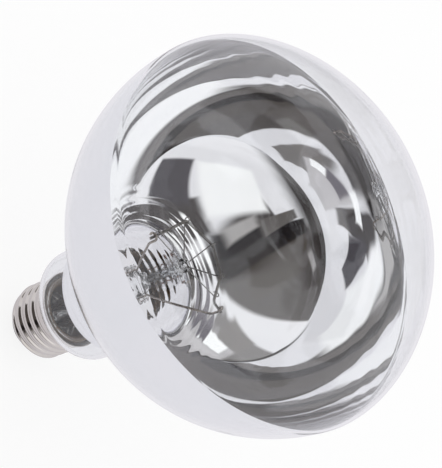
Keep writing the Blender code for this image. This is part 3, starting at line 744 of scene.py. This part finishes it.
@dataclass
class Cap:
    """The screw cap: rolled shell, black glass, contact, solder and cement. Sizes in metres."""

    pitch: float = 0.00363
    major_radius: float = 0.0131
    thread_depth: float = 0.0010
    thread_turns: float = 4.5
    # Turns over which the thread fades out at the rim and in at the foot
    fade: float = 0.6
    foot_fade: float = 0.25
    rings_per_turn: int = 28
    shell_steps: int = 144
    wall: float = 0.0003
    lip_width: float = 0.0022
    lip_height: float = 0.0018
    collar_height: float = 0.0011
    rim_flare: float = 0.0003
    gap: float = 0.0003
    contact_edge: float = 0.0002
    insulator_foot: float = 0.0009
    insulator_skirt: float = 0.0038
    insulator_edge: float = 0.0005
    flange_height: float = 0.0017
    flange_radius: float = 0.0109
    # The solder drop's flat, the share that its dents go in, and its dents per metre
    drop_flat: float = 0.0024
    drop_dent: float = 0.05
    drop_dents: float = 900.0
    # The side bead's dents: the share that they go in, and how many there are per half width
    bead_dent: float = 0.16
    bead_dents: float = 1.6
    cement_grip: float = 0.00005

    def __post_init__(self) -> None:
        """Read the cap's heights from the frame, and work out its radii."""
        low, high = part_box("screw_shell")
        self.rim_top = high.z
        self.thread_base = low.z + self.lip_height
        self.thread_height = self.thread_turns * self.pitch
        self.minor_radius = self.major_radius - self.thread_depth
        self.mouth_radius = self.minor_radius - self.lip_width

    def thread_radius(self, angle: float, height: float) -> float:
        """Outside radius of the rolled sheet.

        Args:
            angle: Angle round the axis in radians.
            height: Height above the thread's foot.

        Returns:
            The radius: arcs that climb with the helix and fade out at both ends.
        """
        half = self.pitch / 2.0
        bend = half / (2.0 * math.sin(2.0 * math.atan(self.thread_depth / half)))
        turns = height / self.pitch - angle / (2.0 * math.pi)
        beside = self.pitch * abs(turns - round(turns))
        if beside < half / 2.0:
            wave = self.major_radius - bend + math.sqrt(bend ** 2 - beside ** 2)
        else:
            wave = self.minor_radius + bend - math.sqrt(bend ** 2 - (half - beside) ** 2)
        run_in = smooth_step(height / (self.foot_fade * self.pitch))
        run_out = smooth_step((self.thread_height - height) / (self.fade * self.pitch))
        wave = self.minor_radius + (wave - self.minor_radius) * run_in
        return self.major_radius + (wave - self.major_radius) * run_out

    def rings(self) -> list[Ring]:
        """List the shell's rings from its mouth to its rim.

        Returns:
            Each ring's height, and its radius as a function of the angle.
        """
        rings: list[Ring] = []
        mouth = ellipse_arc((self.mouth_radius, self.thread_base),
                            (self.lip_width, self.lip_height), -90.0, 0.0, count=10)
        for radius, height in mouth[:-1]:
            rings.append((height, lambda angle, fixed=radius: fixed))
        count = round(self.thread_turns * self.rings_per_turn)
        for index in range(count + 1):
            height = self.thread_height * index / count
            rings.append((self.thread_base + height,
                          lambda angle, fixed=height: self.thread_radius(angle, fixed)))
        collar_top = self.thread_base + self.thread_height + self.collar_height
        rim = ellipse_arc((self.major_radius, self.rim_top),
                          (self.rim_flare, collar_top - self.rim_top), 90.0, 0.0, count=5)
        for radius, height in rim:
            rings.append((height, lambda angle, fixed=radius: fixed))
        return rings

    def shell(self) -> None:
        """Roll the shell: a sheet wrapped into a tube, with the thread rolled into it."""
        rings = self.rings()
        shape = bmesh.new()
        bmesh.ops.create_grid(shape, x_segments=self.shell_steps, y_segments=len(rings) - 1,
                              size=0.5)
        for vertex in shape.verts:
            angle = 2.0 * math.pi * (vertex.co.x + 0.5)
            height, radius = rings[round((vertex.co.y + 0.5) * (len(rings) - 1))]
            spread = radius(angle)
            vertex.co = (spread * math.cos(angle), spread * math.sin(angle), height)
        bmesh.ops.remove_doubles(shape, verts=shape.verts, dist=WELD_DISTANCE)
        bmesh.ops.recalc_face_normals(shape, faces=shape.faces)
        shell = present(shape, "rolled_shell", NICKEL_PLATE, Slot.NICKEL_PLATE, "screw_shell")
        sheet = shell.modifiers.new("sheet", "SOLIDIFY")
        sheet.thickness = self.wall
        sheet.offset = -1.0

    def black_glass(self) -> None:
        """Press the black glass between the shell's mouth and the contact."""
        low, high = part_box("base_insulator")
        contact_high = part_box("centre_contact")[1]
        recess = contact_high.x + self.gap
        recess_top = contact_high.z + self.gap
        waist = self.mouth_radius - self.gap
        hole = self.gap * 2.0
        skirt_top = low.z + self.insulator_skirt
        flange_base = high.z - self.flange_height
        edge = self.insulator_edge
        rim = self.flange_radius - edge
        foot = recess + self.insulator_foot
        outline = [(hole, high.z)]
        outline += ellipse_arc((rim, high.z - edge), (edge, edge), 90.0, 0.0, count=6)
        outline += ellipse_arc((rim, flange_base + edge), (edge, edge), 0.0, -90.0, count=6)
        outline += [(waist, flange_base), (waist, skirt_top)]
        outline += ellipse_arc((foot, skirt_top), (waist - foot, self.insulator_skirt),
                               0.0, -90.0, count=16)[1:]
        outline += [(recess, low.z), (recess, recess_top), (hole, recess_top)]
        present(turned(outline, closed=True), "pressed_insulator", PRESSED_BLACK_GLASS,
                Slot.BLACK_GLASS, "base_insulator")

    def contact(self) -> None:
        """Stamp the brass contact with a rounded edge."""
        low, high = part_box("centre_contact")
        edge = self.contact_edge
        face = 2.0 * edge
        hole = self.gap * 2.0
        outline = [(hole, high.z)]
        outline += ellipse_arc((high.x - edge, high.z - edge), (edge, edge), 90.0, 0.0, count=4)
        outline += ellipse_arc((high.x - face, low.z + face), (face, face), 0.0, -90.0, count=6)
        outline += [(hole, low.z)]
        present(turned(outline, closed=True, steps=96), "stamped_contact", STAMPED_BRASS,
                Slot.BRASS, "centre_contact")

    def contact_drop(self) -> None:
        """Set the solder drop on the contact, flat underneath and a little uneven round it."""
        low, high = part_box("contact_solder")
        swell = high.x - self.drop_flat
        outline = [(0.0, high.z)]
        outline += ellipse_arc((self.drop_flat, high.z), (swell, high.z - low.z),
                               0.0, -90.0, count=12)
        outline += [(0.0, low.z)]
        shape = turned(outline, steps=72)
        for vertex in shape.verts:
            beside = smooth_step((vertex.co.xy.length - self.drop_flat) / swell)
            wave = noise.noise(vertex.co * self.drop_dents)
            vertex.co.xy *= 1.0 - self.drop_dent * beside * abs(wave)
        present(shape, "contact_drop", TIN_SOLDER, Slot.SOLDER, "contact_solder")

    def side_drop(self) -> None:
        """Set the solder bead that joins the side wire to the shell's rim."""
        low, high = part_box("side_solder")
        centre = (low + high) / 2.0
        half = (high - low) / 2.0
        shape = bmesh.new()
        bmesh.ops.create_uvsphere(shape, u_segments=40, v_segments=24, radius=1.0)
        for vertex in shape.verts:
            swell = 1.0 - self.bead_dent * abs(noise.noise(vertex.co * self.bead_dents))
            vertex.co = centre + Vector(a * b * swell for a, b in zip(vertex.co, half))
        present(shape, "side_drop", TIN_SOLDER, Slot.SOLDER, "side_solder")

    def cement(self) -> None:
        """Bake the cement ring between the shell and the neck, whose foot it wets."""
        low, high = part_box("basing_cement")
        envelope = Envelope()
        wetted = [place for place in inset(envelope.neck() + envelope.seat(), self.cement_grip)
                  if low.z < place[1] and place[0] < high.x]
        outline = [(high.x, wetted[0][1])] + wetted + [(wetted[-1][0], low.z), (high.x, low.z)]
        present(turned(outline, closed=True), "cement_ring", BASING_CEMENT, Slot.CEMENT,
                "basing_cement")

    def build(self) -> None:
        """Build every piece of the cap."""
        self.shell()
        self.black_glass()
        self.contact()
        self.contact_drop()
        self.side_drop()
        self.cement()


@dataclass
class Stem:
    """The glass stem: flare, tube, pinched press, exhaust tube, and the rod with its button.

    Sizes in metres, angles in degrees.
    """

    wall: float = 0.0010
    tube_radius: float = 0.0052
    flare_height: float = 0.0070
    press_height: float = 0.0140
    press_half_width: float = 0.0068
    press_half_thickness: float = 0.0029
    press_edge: float = 0.0012
    # Share of the press's height over which the tube is pinched flat
    press_ease: float = 0.5
    # The press's rough skin: its depth, its dents per metre, and the seed that keeps it the same
    press_dent: float = 0.00035
    press_dents: float = 420.0
    press_seed: int = 1796075782
    shoulder_drop: float = 0.0036
    boss_half_width: float = 0.0021
    exhaust_wall: float = 0.0006
    exhaust_tip_height: float = 0.0030
    rod_radius: float = 0.0013
    button_half_height: float = 0.0017
    # Where the button's arc ends, and how many half heights below its middle the shank starts
    button_end: float = -52.0
    shank_drop: float = 1.25
    # The fillet that fuses the rod to the press, and how far the rod sinks in
    fuse_fillet: float = 0.0012
    fuse_end: float = 262.0
    fuse_depth: float = 0.0006

    def __post_init__(self) -> None:
        """Read the stem's heights from the frame."""
        low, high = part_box("glass_stem")
        self.foot = low.z
        self.press_top = high.z
        self.flare_radius = high.x
        self.press_base = self.press_top - self.press_height
        self.bore_top = self.press_base - self.wall
        rod_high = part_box("glass_rod")[1]
        self.button_radius = rod_high.x
        self.button_plane = rod_high.z - self.button_half_height

    def outline(self) -> list[Point]:
        """Solid press above a hollow tube that opens into the flare.

        Returns:
            The (radius, height) points, down the outside and back up inside.
        """
        edge = self.press_edge
        top = self.tube_radius - edge
        crown = ellipse_arc((top, self.press_top - edge), (edge, edge), 90.0, 0.0, count=8)
        flare_top = self.foot + self.flare_height
        swell = self.flare_radius - self.tube_radius
        points = straight_run((0.0, self.press_top), (top, self.press_top), count=10)[:-1]
        points += crown
        points += straight_run((self.tube_radius, crown[-1][1]),
                               (self.tube_radius, flare_top), count=36)[1:-1]
        flare = (self.flare_radius, flare_top)
        points += ellipse_arc(flare, (swell, self.flare_height - self.wall),
                              180.0, 270.0, count=14)
        points.append((self.flare_radius, self.foot))
        points += ellipse_arc(flare, (swell + self.wall, self.flare_height),
                              270.0, 180.0, count=14)[1:]
        points += [(self.tube_radius - self.wall, self.bore_top), (0.0, self.bore_top)]
        return points

    def pinched(self) -> None:
        """Turn the stem, pinch its top flat and lower beside the boss, and leave it rough."""
        noise.seed_set(self.press_seed)
        shape = turned(self.outline(), steps=96)
        pinch_height = self.press_ease * self.press_height
        for vertex in shape.verts:
            share = smooth_step((vertex.co.z - self.press_base) / pinch_height)
            vertex.co.x *= 1.0 + share * (self.press_half_thickness / self.tube_radius - 1.0)
            vertex.co.y *= 1.0 + share * (self.press_half_width / self.tube_radius - 1.0)
            beside = smooth_step((abs(vertex.co.y) - self.boss_half_width) / self.boss_half_width)
            vertex.co.z -= share * beside * self.shoulder_drop
            rough = share * self.press_dent
            vertex.co += rough * noise.noise_vector(vertex.co * self.press_dents)
        present(shape, "pinched_stem", DRAWN_GLASS, Slot.STEM_GLASS, "glass_stem")

    def exhaust(self) -> None:
        """Draw the exhaust tube, sealed to a tip below."""
        low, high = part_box("exhaust_tube")
        radius = high.x
        bore = radius - self.exhaust_wall
        waist = low.z + self.exhaust_tip_height
        tip = ellipse_arc((0.0, waist), (radius, self.exhaust_tip_height),
                          0.0, -90.0, count=12)
        outline = [(bore, high.z), (radius, high.z)] + tip
        outline += [(0.0, waist - self.exhaust_wall), (bore, waist + self.exhaust_wall)]
        present(turned(outline, closed=True, steps=48), "sealed_exhaust", DRAWN_GLASS,
                Slot.STEM_GLASS, "exhaust_tube")

    def rod(self) -> None:
        """Draw the rod, fused to the press below and swollen into the button above."""
        radius = self.rod_radius
        fillet = self.fuse_fillet
        foot = self.press_top + fillet
        waist = self.button_plane - self.shank_drop * self.button_half_height
        outline = ellipse_arc((0.0, self.button_plane),
                              (self.button_radius, self.button_half_height),
                              90.0, self.button_end, count=20)
        outline += straight_run((radius, waist), (radius, foot), count=10)
        outline += ellipse_arc((radius + fillet, foot), (fillet, fillet),
                               180.0, self.fuse_end, count=8)[1:]
        outline.append((0.0, self.press_top - self.fuse_depth))
        present(turned(outline, steps=64), "button_rod", DRAWN_GLASS, Slot.STEM_GLASS, "glass_rod")

    def build(self) -> None:
        """Build every glass piece of the stem."""
        self.pinched()
        self.exhaust()
        self.rod()


@dataclass
class FilamentMount:
    """The coiled filament with the wires that carry it. Sizes in metres, angles in degrees."""

    ring_radius: float = 0.0153
    leg_length: float = 0.0045
    tail_length: float = 0.0016
    corner_angles: tuple[float, ...] = (111.0, 151.0, 191.0, 239.0, 309.0)
    corner_bend: float = 0.0011
    coil_radius: float = 0.0005
    coil_wire_radius: float = 0.00008
    coil_pitch: float = 0.00025
    coil_steps: int = 10
    support_radius: float = 0.0002
    support_seat: float = 0.0016
    support_sweep: float = 262.0
    end_support_inset: float = 0.0030
    hook_clearance: float = 0.0004
    lead_radius: float = 0.0004
    lead_seat_offset: float = 0.0044
    lead_seat_depth: float = 0.0060
    lead_rise: float = 0.0012
    lead_knee_drop: float = 0.0028
    lead_hook_sweep: float = 215.0
    lead_hook_reach: float = 0.0032
    hook_steps: int = 28

    def __post_init__(self) -> None:
        """Read the filament's plane and the press's height from the frame."""
        low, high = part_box("filament")
        self.plane = (low.z + high.z) / 2.0
        self.support_hook = self.coil_radius + self.hook_clearance + self.support_radius
        self.lead_hook = self.coil_radius + self.hook_clearance + self.lead_radius
        self.support_plane = self.plane - self.support_hook
        self.press_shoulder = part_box("glass_stem")[1].z - Stem.shoulder_drop

    def corner(self, angle: float) -> Vector:
        """Place of a filament corner at one angle."""
        return radial(angle) * self.ring_radius + UP * self.plane

    def corners(self) -> list[Vector]:
        """Places of every filament corner."""
        return [self.corner(angle) for angle in self.corner_angles]

    def supported(self) -> list[Vector]:
        """Places where a support wire hooks the filament.

        Returns:
            One just inside each end corner, and the corners between them.
        """
        corners = self.corners()
        first = corners[0] + (corners[1] - corners[0]).normalized() * self.end_support_inset
        last = corners[-1] + (corners[-2] - corners[-1]).normalized() * self.end_support_inset
        return [first] + corners[1:-1] + [last]

    def tail_direction(self) -> Vector:
        """Direction of the filament's last run."""
        corners = self.corners()
        return (corners[-1] - corners[-2]).normalized()

    def coil_path(self) -> list[Vector]:
        """Middle line of the coil, rounded at its corners.

        Returns:
            Points from the leg's end to the tail's.
        """
        corners = self.corners()
        leg = corners[0] + radial(self.corner_angles[0]) * self.leg_length
        tail = corners[-1] + self.tail_direction() * self.tail_length
        return bowed([leg] + corners + [tail], self.corner_bend)

    def coil(self) -> None:
        """Wind the filament's wire as one fine helix along its path."""
        path = self.coil_path()
        lengths = [0.0]
        for first, second in zip(path, path[1:]):
            lengths.append(lengths[-1] + (second - first).length)
        count = round(lengths[-1] / self.coil_pitch * self.coil_steps)
        middle = self.coil_radius - self.coil_wire_radius
        turns = []
        stretch = 0
        for index in range(count + 1):
            reach = lengths[-1] * index / count
            while stretch < len(path) - 2 and lengths[stretch + 1] < reach:
                stretch += 1
            run = path[stretch + 1] - path[stretch]
            place = path[stretch] + run * ((reach - lengths[stretch]) / run.length)
            side = UP.cross(run.normalized())
            angle = 2.0 * math.pi * index / self.coil_steps
            turns.append(place + middle * (math.cos(angle) * UP + math.sin(angle) * side))
        present(drawn_wire(turns, self.coil_wire_radius, resolution=0), "coiled_filament",
                COILED_TUNGSTEN, Slot.TUNGSTEN, "filament")

    def hook(self, centre: Vector, out: Vector, radius: float, start: float,
             sweep: float) -> list[Vector]:
        """Arc of a hook round a wire.

        Args:
            centre: Middle of the hook.
            out: Direction that an angle of 0 points in.
            radius: Radius of the hook.
            start: First angle in degrees.
            sweep: Degrees that it turns through.

        Returns:
            Points of the arc.
        """
        points = []
        for index in range(self.hook_steps + 1):
            angle = math.radians(start + sweep * index / self.hook_steps)
            points.append(centre + radius * (math.cos(angle) * out + math.sin(angle) * UP))
        return points

    def supports(self) -> None:
        """Fan the support wires out from the button to the coil."""
        for index, place in enumerate(self.supported()):
            out = Vector((place.x, place.y, 0.0)).normalized()
            start = out * self.support_seat + UP * self.support_plane
            curl = self.hook(place, out, self.support_hook, -90.0, self.support_sweep)
            present(drawn_wire([start] + curl, self.support_radius), f"support_wire_{index + 1}",
                    DRAWN_MOLYBDENUM, Slot.MOLYBDENUM, f"filament_support_{index + 1}")

    def lead(self, name: str, centre: Vector, along: Vector, side: float) -> None:
        """Run a lead from the press up to the filament's end and over it.

        Args:
            name: Last letter of the lead's name.
            centre: Middle of its hook.
            along: Direction of the filament there.
            side: 1 or -1, the side of the press that it leaves.
        """
        inward = UP.cross(along) * side
        offset = side * self.lead_seat_offset
        foot = Vector((0.0, offset, self.press_shoulder - self.lead_seat_depth))
        leaves = Vector((0.0, offset, self.press_shoulder + self.lead_rise))
        curl = self.hook(centre, inward, self.lead_hook, 0.0, self.lead_hook_sweep)
        knee = curl[0] - UP * self.lead_knee_drop
        path = bowed([foot, leaves, knee, curl[0]], 2.0 * self.lead_rise, count=12)
        present(drawn_wire(path + curl[1:], self.lead_radius), "lead_" + name, DRAWN_NICKEL,
                Slot.NICKEL_WIRE, "lead_wire_" + name)

    def leads(self) -> None:
        """Run both leads, one to each end of the filament."""
        leg_direction = radial(self.corner_angles[0])
        self.lead("a", self.corner(self.corner_angles[0]) + leg_direction * self.lead_hook_reach,
                  -leg_direction, 1.0)
        self.lead("b", self.corner(self.corner_angles[-1]), -self.tail_direction(), -1.0)

    def outer_leads(self) -> None:
        """Dress the copper-clad leads under the press, whose CAD wires keep their shape."""
        for node in ("outer_lead_centre", "outer_lead_side"):
            wire = frame["nodes"][node]
            wire.data.materials.clear()
            wire.data.materials.append(COPPER_CLAD.material())
            LOG.info("%s: CAD wire in %s", node, COPPER_CLAD.name)

    def build(self) -> None:
        """Build the filament and every wire."""
        self.coil()
        self.supports()
        self.leads()
        self.outer_leads()


@dataclass(frozen=True)
class Card:
    """A card, flag or light hung over the bulb, which only metal and glass mirror.

    Its plane is level and one metre above the bulb, so places in it are in metres.

    Args:
        centre: Place of its middle along X and Y.
        half_size: Half of its width and depth.
        roll: Degrees that it is turned about the vertical.
        softness: Share of its half size over which its edge fades.
        shade: Its colour, sRGB hex.
        glow: How much brighter than that colour it is.
    """

    centre: Point
    half_size: Point
    roll: float
    softness: float
    shade: str
    glow: float = 1.0

    def share(self, tree: bpy.types.NodeTree,
              ceiling: bpy.types.NodeSocket) -> bpy.types.NodeSocket:
        """Add the nodes that say how much of a direction the card covers.

        Args:
            tree: The world's node tree.
            ceiling: Place where a direction meets the cards' plane.

        Returns:
            1 inside the card and 0 outside.
        """
        own = add_node(tree, "ShaderNodeMapping", {
            "Vector": ceiling, "Location": (*self.centre, 0.0),
            "Rotation": (0.0, 0.0, math.radians(self.roll)), "Scale": (*self.half_size, 1.0)},
            vector_type="TEXTURE")
        reach = add_node(tree, "ShaderNodeVectorMath", {0: own.outputs[0]}, operation="ABSOLUTE")
        parts = add_node(tree, "ShaderNodeSeparateXYZ", {"Vector": reach.outputs[0]})
        farther = add_node(tree, "ShaderNodeMath", {0: parts.outputs["X"], 1: parts.outputs["Y"]},
                           operation="MAXIMUM")
        inside = add_node(tree, "ShaderNodeMapRange", {
            "Value": farther.outputs[0], "From Min": 1.0 + self.softness,
            "From Max": 1.0 - self.softness}, interpolation_type="SMOOTHSTEP")
        return inside.outputs["Result"]


@dataclass
class Studio:
    """Camera, pale floor and soft light. Sizes in metres, angles in degrees."""

    camera_place: tuple[float, float, float] = (0.38025, 0.0, 0.43422)
    camera_aim: tuple[float, float, float] = (0.00232, -0.00486, 0.10232)
    camera_roll: float = 68.0
    # The lens and the sensor in millimetres, as Blender has them
    lens: float = 125.39
    sensor_width: float = 36.0
    nearest: float = 0.01
    farthest: float = 20.0
    floor_size: float = 4.0
    floor_colour: str = "#FAFAFA"
    floor_roughness: float = 0.9
    # Share of the floor that glows by itself, and its cast where metal and glass mirror it
    floor_glow: float = 0.85
    floor_cast: str = "#E6E4EA"
    light_bounces: int = 24
    # Sine of the height over which the cards fade out above the floor
    horizon: float = 0.05
    tent_colour: str = "#F3F2F5"
    cards: tuple[Card, ...] = (
        # A dim flag and a pale one behind the bulb on its -Y side
        Card((-0.70, -1.45), (0.50, 1.05), 0.0, 0.10, "#83807F"),
        Card((-1.2, -0.55), (0.75, 0.60), 0.0, 0.12, "#C9C6C8"),
        # A grey flag and a narrow light in front of them
        Card((-0.62, -0.30), (0.16, 0.24), 0.0, 0.20, "#77737A"),
        Card((-0.64, -0.76), (0.12, 0.20), 0.0, 0.20, "#FFFFFF", 1.2),
        # A grey flag on the -Y side, and two large dark ones past a gap
        Card((-0.34, -0.93), (0.19, 0.33), -6.0, 0.20, "#85817F"),
        Card((1.21, -1.13), (0.77, 1.62), 28.0, 0.06, "#524E4D"),
        Card((3.30, -1.50), (1.50, 1.25), 0.0, 0.10, "#524E4D"),
        # Dark flags on the camera's side, with paler strips among them
        Card((1.35, -0.55), (1.05, 0.42), -16.0, 0.12, "#524D4A"),
        Card((2.35, -1.20), (0.20, 0.30), 0.0, 0.40, "#A9A6A6"),
        Card((1.38, -0.12), (1.42, 0.20), -3.0, 0.15, "#211E1F"),
        Card((0.55, 0.15), (0.32, 0.08), 10.0, 0.35, "#B4B1B0"),
        Card((1.60, 0.14), (0.72, 0.12), 5.0, 0.15, "#6A6664"),
        # A broad dark flag low on the camera's side, down to the horizon
        Card((9.0, 2.0), (6.6, 4.0), 12.0, 0.10, "#332F2E"),
        # A dark flag behind the bulb, with a light in front of it
        Card((-0.55, 0.30), (0.62, 0.20), 6.0, 0.15, "#4A4646"),
        Card((-0.34, 0.12), (0.12, 0.19), 8.0, 0.20, "#FFFFFF", 1.2),
        # A dark flag on the +Y side, and a large light beside it
        Card((-0.35, 0.92), (0.32, 0.44), -8.0, 0.12, "#4E4B50"),
        Card((0.65, 0.78), (0.55, 0.46), 0.0, 0.15, "#FFFFFF", 1.1),
    )

    def camera(self) -> None:
        """Set the camera at the photograph's viewing angle, for a frame of 442 by 468."""
        data = bpy.data.cameras.new("camera")
        data.lens = self.lens
        data.sensor_width = self.sensor_width
        data.clip_start = self.nearest
        data.clip_end = self.farthest
        camera = bpy.data.objects.new("camera", data)
        place = Vector(self.camera_place)
        sight = Vector(self.camera_aim) - place
        camera.location = place
        camera.rotation_mode = "QUATERNION"
        camera.rotation_quaternion = (sight.to_track_quat("-Z", "Y")
                                      @ Quaternion(UP, math.radians(self.camera_roll)))
        bpy.context.scene.collection.objects.link(camera)
        bpy.context.scene.camera = camera

    def floor(self) -> None:
        """Lay the plain pale floor under the cap's tip."""
        shape = bmesh.new()
        bmesh.ops.create_grid(shape, x_segments=1, y_segments=1, size=self.floor_size / 2.0)
        mesh = bpy.data.meshes.new("floor")
        shape.to_mesh(mesh)
        shape.free()
        paint = bpy.data.materials.new("matt_white_floor")
        paint.use_nodes = True
        tree = paint.node_tree
        shader = tree.nodes["Principled BSDF"]
        shader.inputs["Base Color"].default_value = linear(self.floor_colour)
        shader.inputs["Roughness"].default_value = self.floor_roughness
        shader.inputs["Specular IOR Level"].default_value = 0.0
        rays = add_node(tree, "ShaderNodeLightPath")
        share = add_node(tree, "ShaderNodeMath", {0: seen_share(tree, rays), 1: self.floor_glow},
                         operation="MULTIPLY")
        cast = add_node(tree, "ShaderNodeMix", {"Factor": rays.outputs["Is Glossy Ray"],
                                                "A": WHITE, "B": linear(self.floor_cast)},
                        data_type="RGBA")
        white = add_node(tree, "ShaderNodeEmission", {"Color": cast.outputs["Result"],
                                                      "Strength": 1.0})
        seen = add_node(tree, "ShaderNodeMixShader", {0: share.outputs[0], 1: shader.outputs[0],
                                                      2: white.outputs[0]})
        tree.links.new(seen.outputs[0], tree.nodes["Material Output"].inputs["Surface"])
        mesh.materials.append(paint)
        floor = bpy.data.objects.new("floor", mesh)
        bpy.context.scene.collection.objects.link(floor)

    def light(self) -> None:
        """Fill the studio with soft white light, and hang the cards that metal and glass mirror."""
        world = bpy.data.worlds.new("studio")
        world.use_nodes = True
        bpy.context.scene.world = world
        tree = world.node_tree
        sight = add_node(tree, "ShaderNodeTexCoord").outputs["Generated"]
        parts = add_node(tree, "ShaderNodeSeparateXYZ", {"Vector": sight})
        rise = add_node(tree, "ShaderNodeMath", {0: parts.outputs["Z"], 1: self.horizon},
                        operation="MAXIMUM")
        heights = add_node(tree, "ShaderNodeCombineXYZ", {
            "X": rise.outputs[0], "Y": rise.outputs[0], "Z": rise.outputs[0]})
        ceiling = add_node(tree, "ShaderNodeVectorMath", {0: sight, 1: heights.outputs[0]},
                           operation="DIVIDE")
        above = add_node(tree, "ShaderNodeMapRange", {"Value": parts.outputs["Z"],
                                                      "From Max": self.horizon})
        tent = add_node(tree, "ShaderNodeRGB")
        tent.outputs[0].default_value = linear(self.tent_colour)
        colour = tent.outputs[0]
        for card in self.cards:
            share = add_node(tree, "ShaderNodeMath", {0: card.share(tree, ceiling.outputs[0]),
                                                      1: above.outputs["Result"]},
                             operation="MULTIPLY")
            glow = tuple(level * card.glow for level in linear(card.shade)[:3]) + (1.0,)
            mixed = add_node(tree, "ShaderNodeMix", {"Factor": share.outputs[0], "A": colour,
                                                     "B": glow}, data_type="RGBA")
            colour = mixed.outputs["Result"]
        rays = add_node(tree, "ShaderNodeLightPath")
        lit = add_node(tree, "ShaderNodeMix", {"Factor": seen_share(tree, rays), "A": WHITE,
                                               "B": colour}, data_type="RGBA")
        back = tree.nodes["Background"]
        tree.links.new(lit.outputs["Result"], back.inputs["Color"])
        back.inputs["Strength"].default_value = 1.0

    def build(self) -> None:
        """Set up the camera, the floor, the light and the view."""
        self.camera()
        self.floor()
        self.light()
        scene = bpy.context.scene
        scene.view_settings.view_transform = "Standard"
        scene.cycles.max_bounces = self.light_bounces
        scene.cycles.glossy_bounces = self.light_bounces
        scene.cycles.transmission_bounces = self.light_bounces


def main() -> None:
    """Build the studio and every sub-assembly, in order."""
    logging.basicConfig(level=logging.INFO, format="%(message)s")
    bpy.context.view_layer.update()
    Studio().build()
    envelope = Envelope()
    envelope.glass()
    envelope.silvering()
    Cap().build()
    Stem().build()
    FilamentMount().build()


if __name__ == "__main__":
    main()
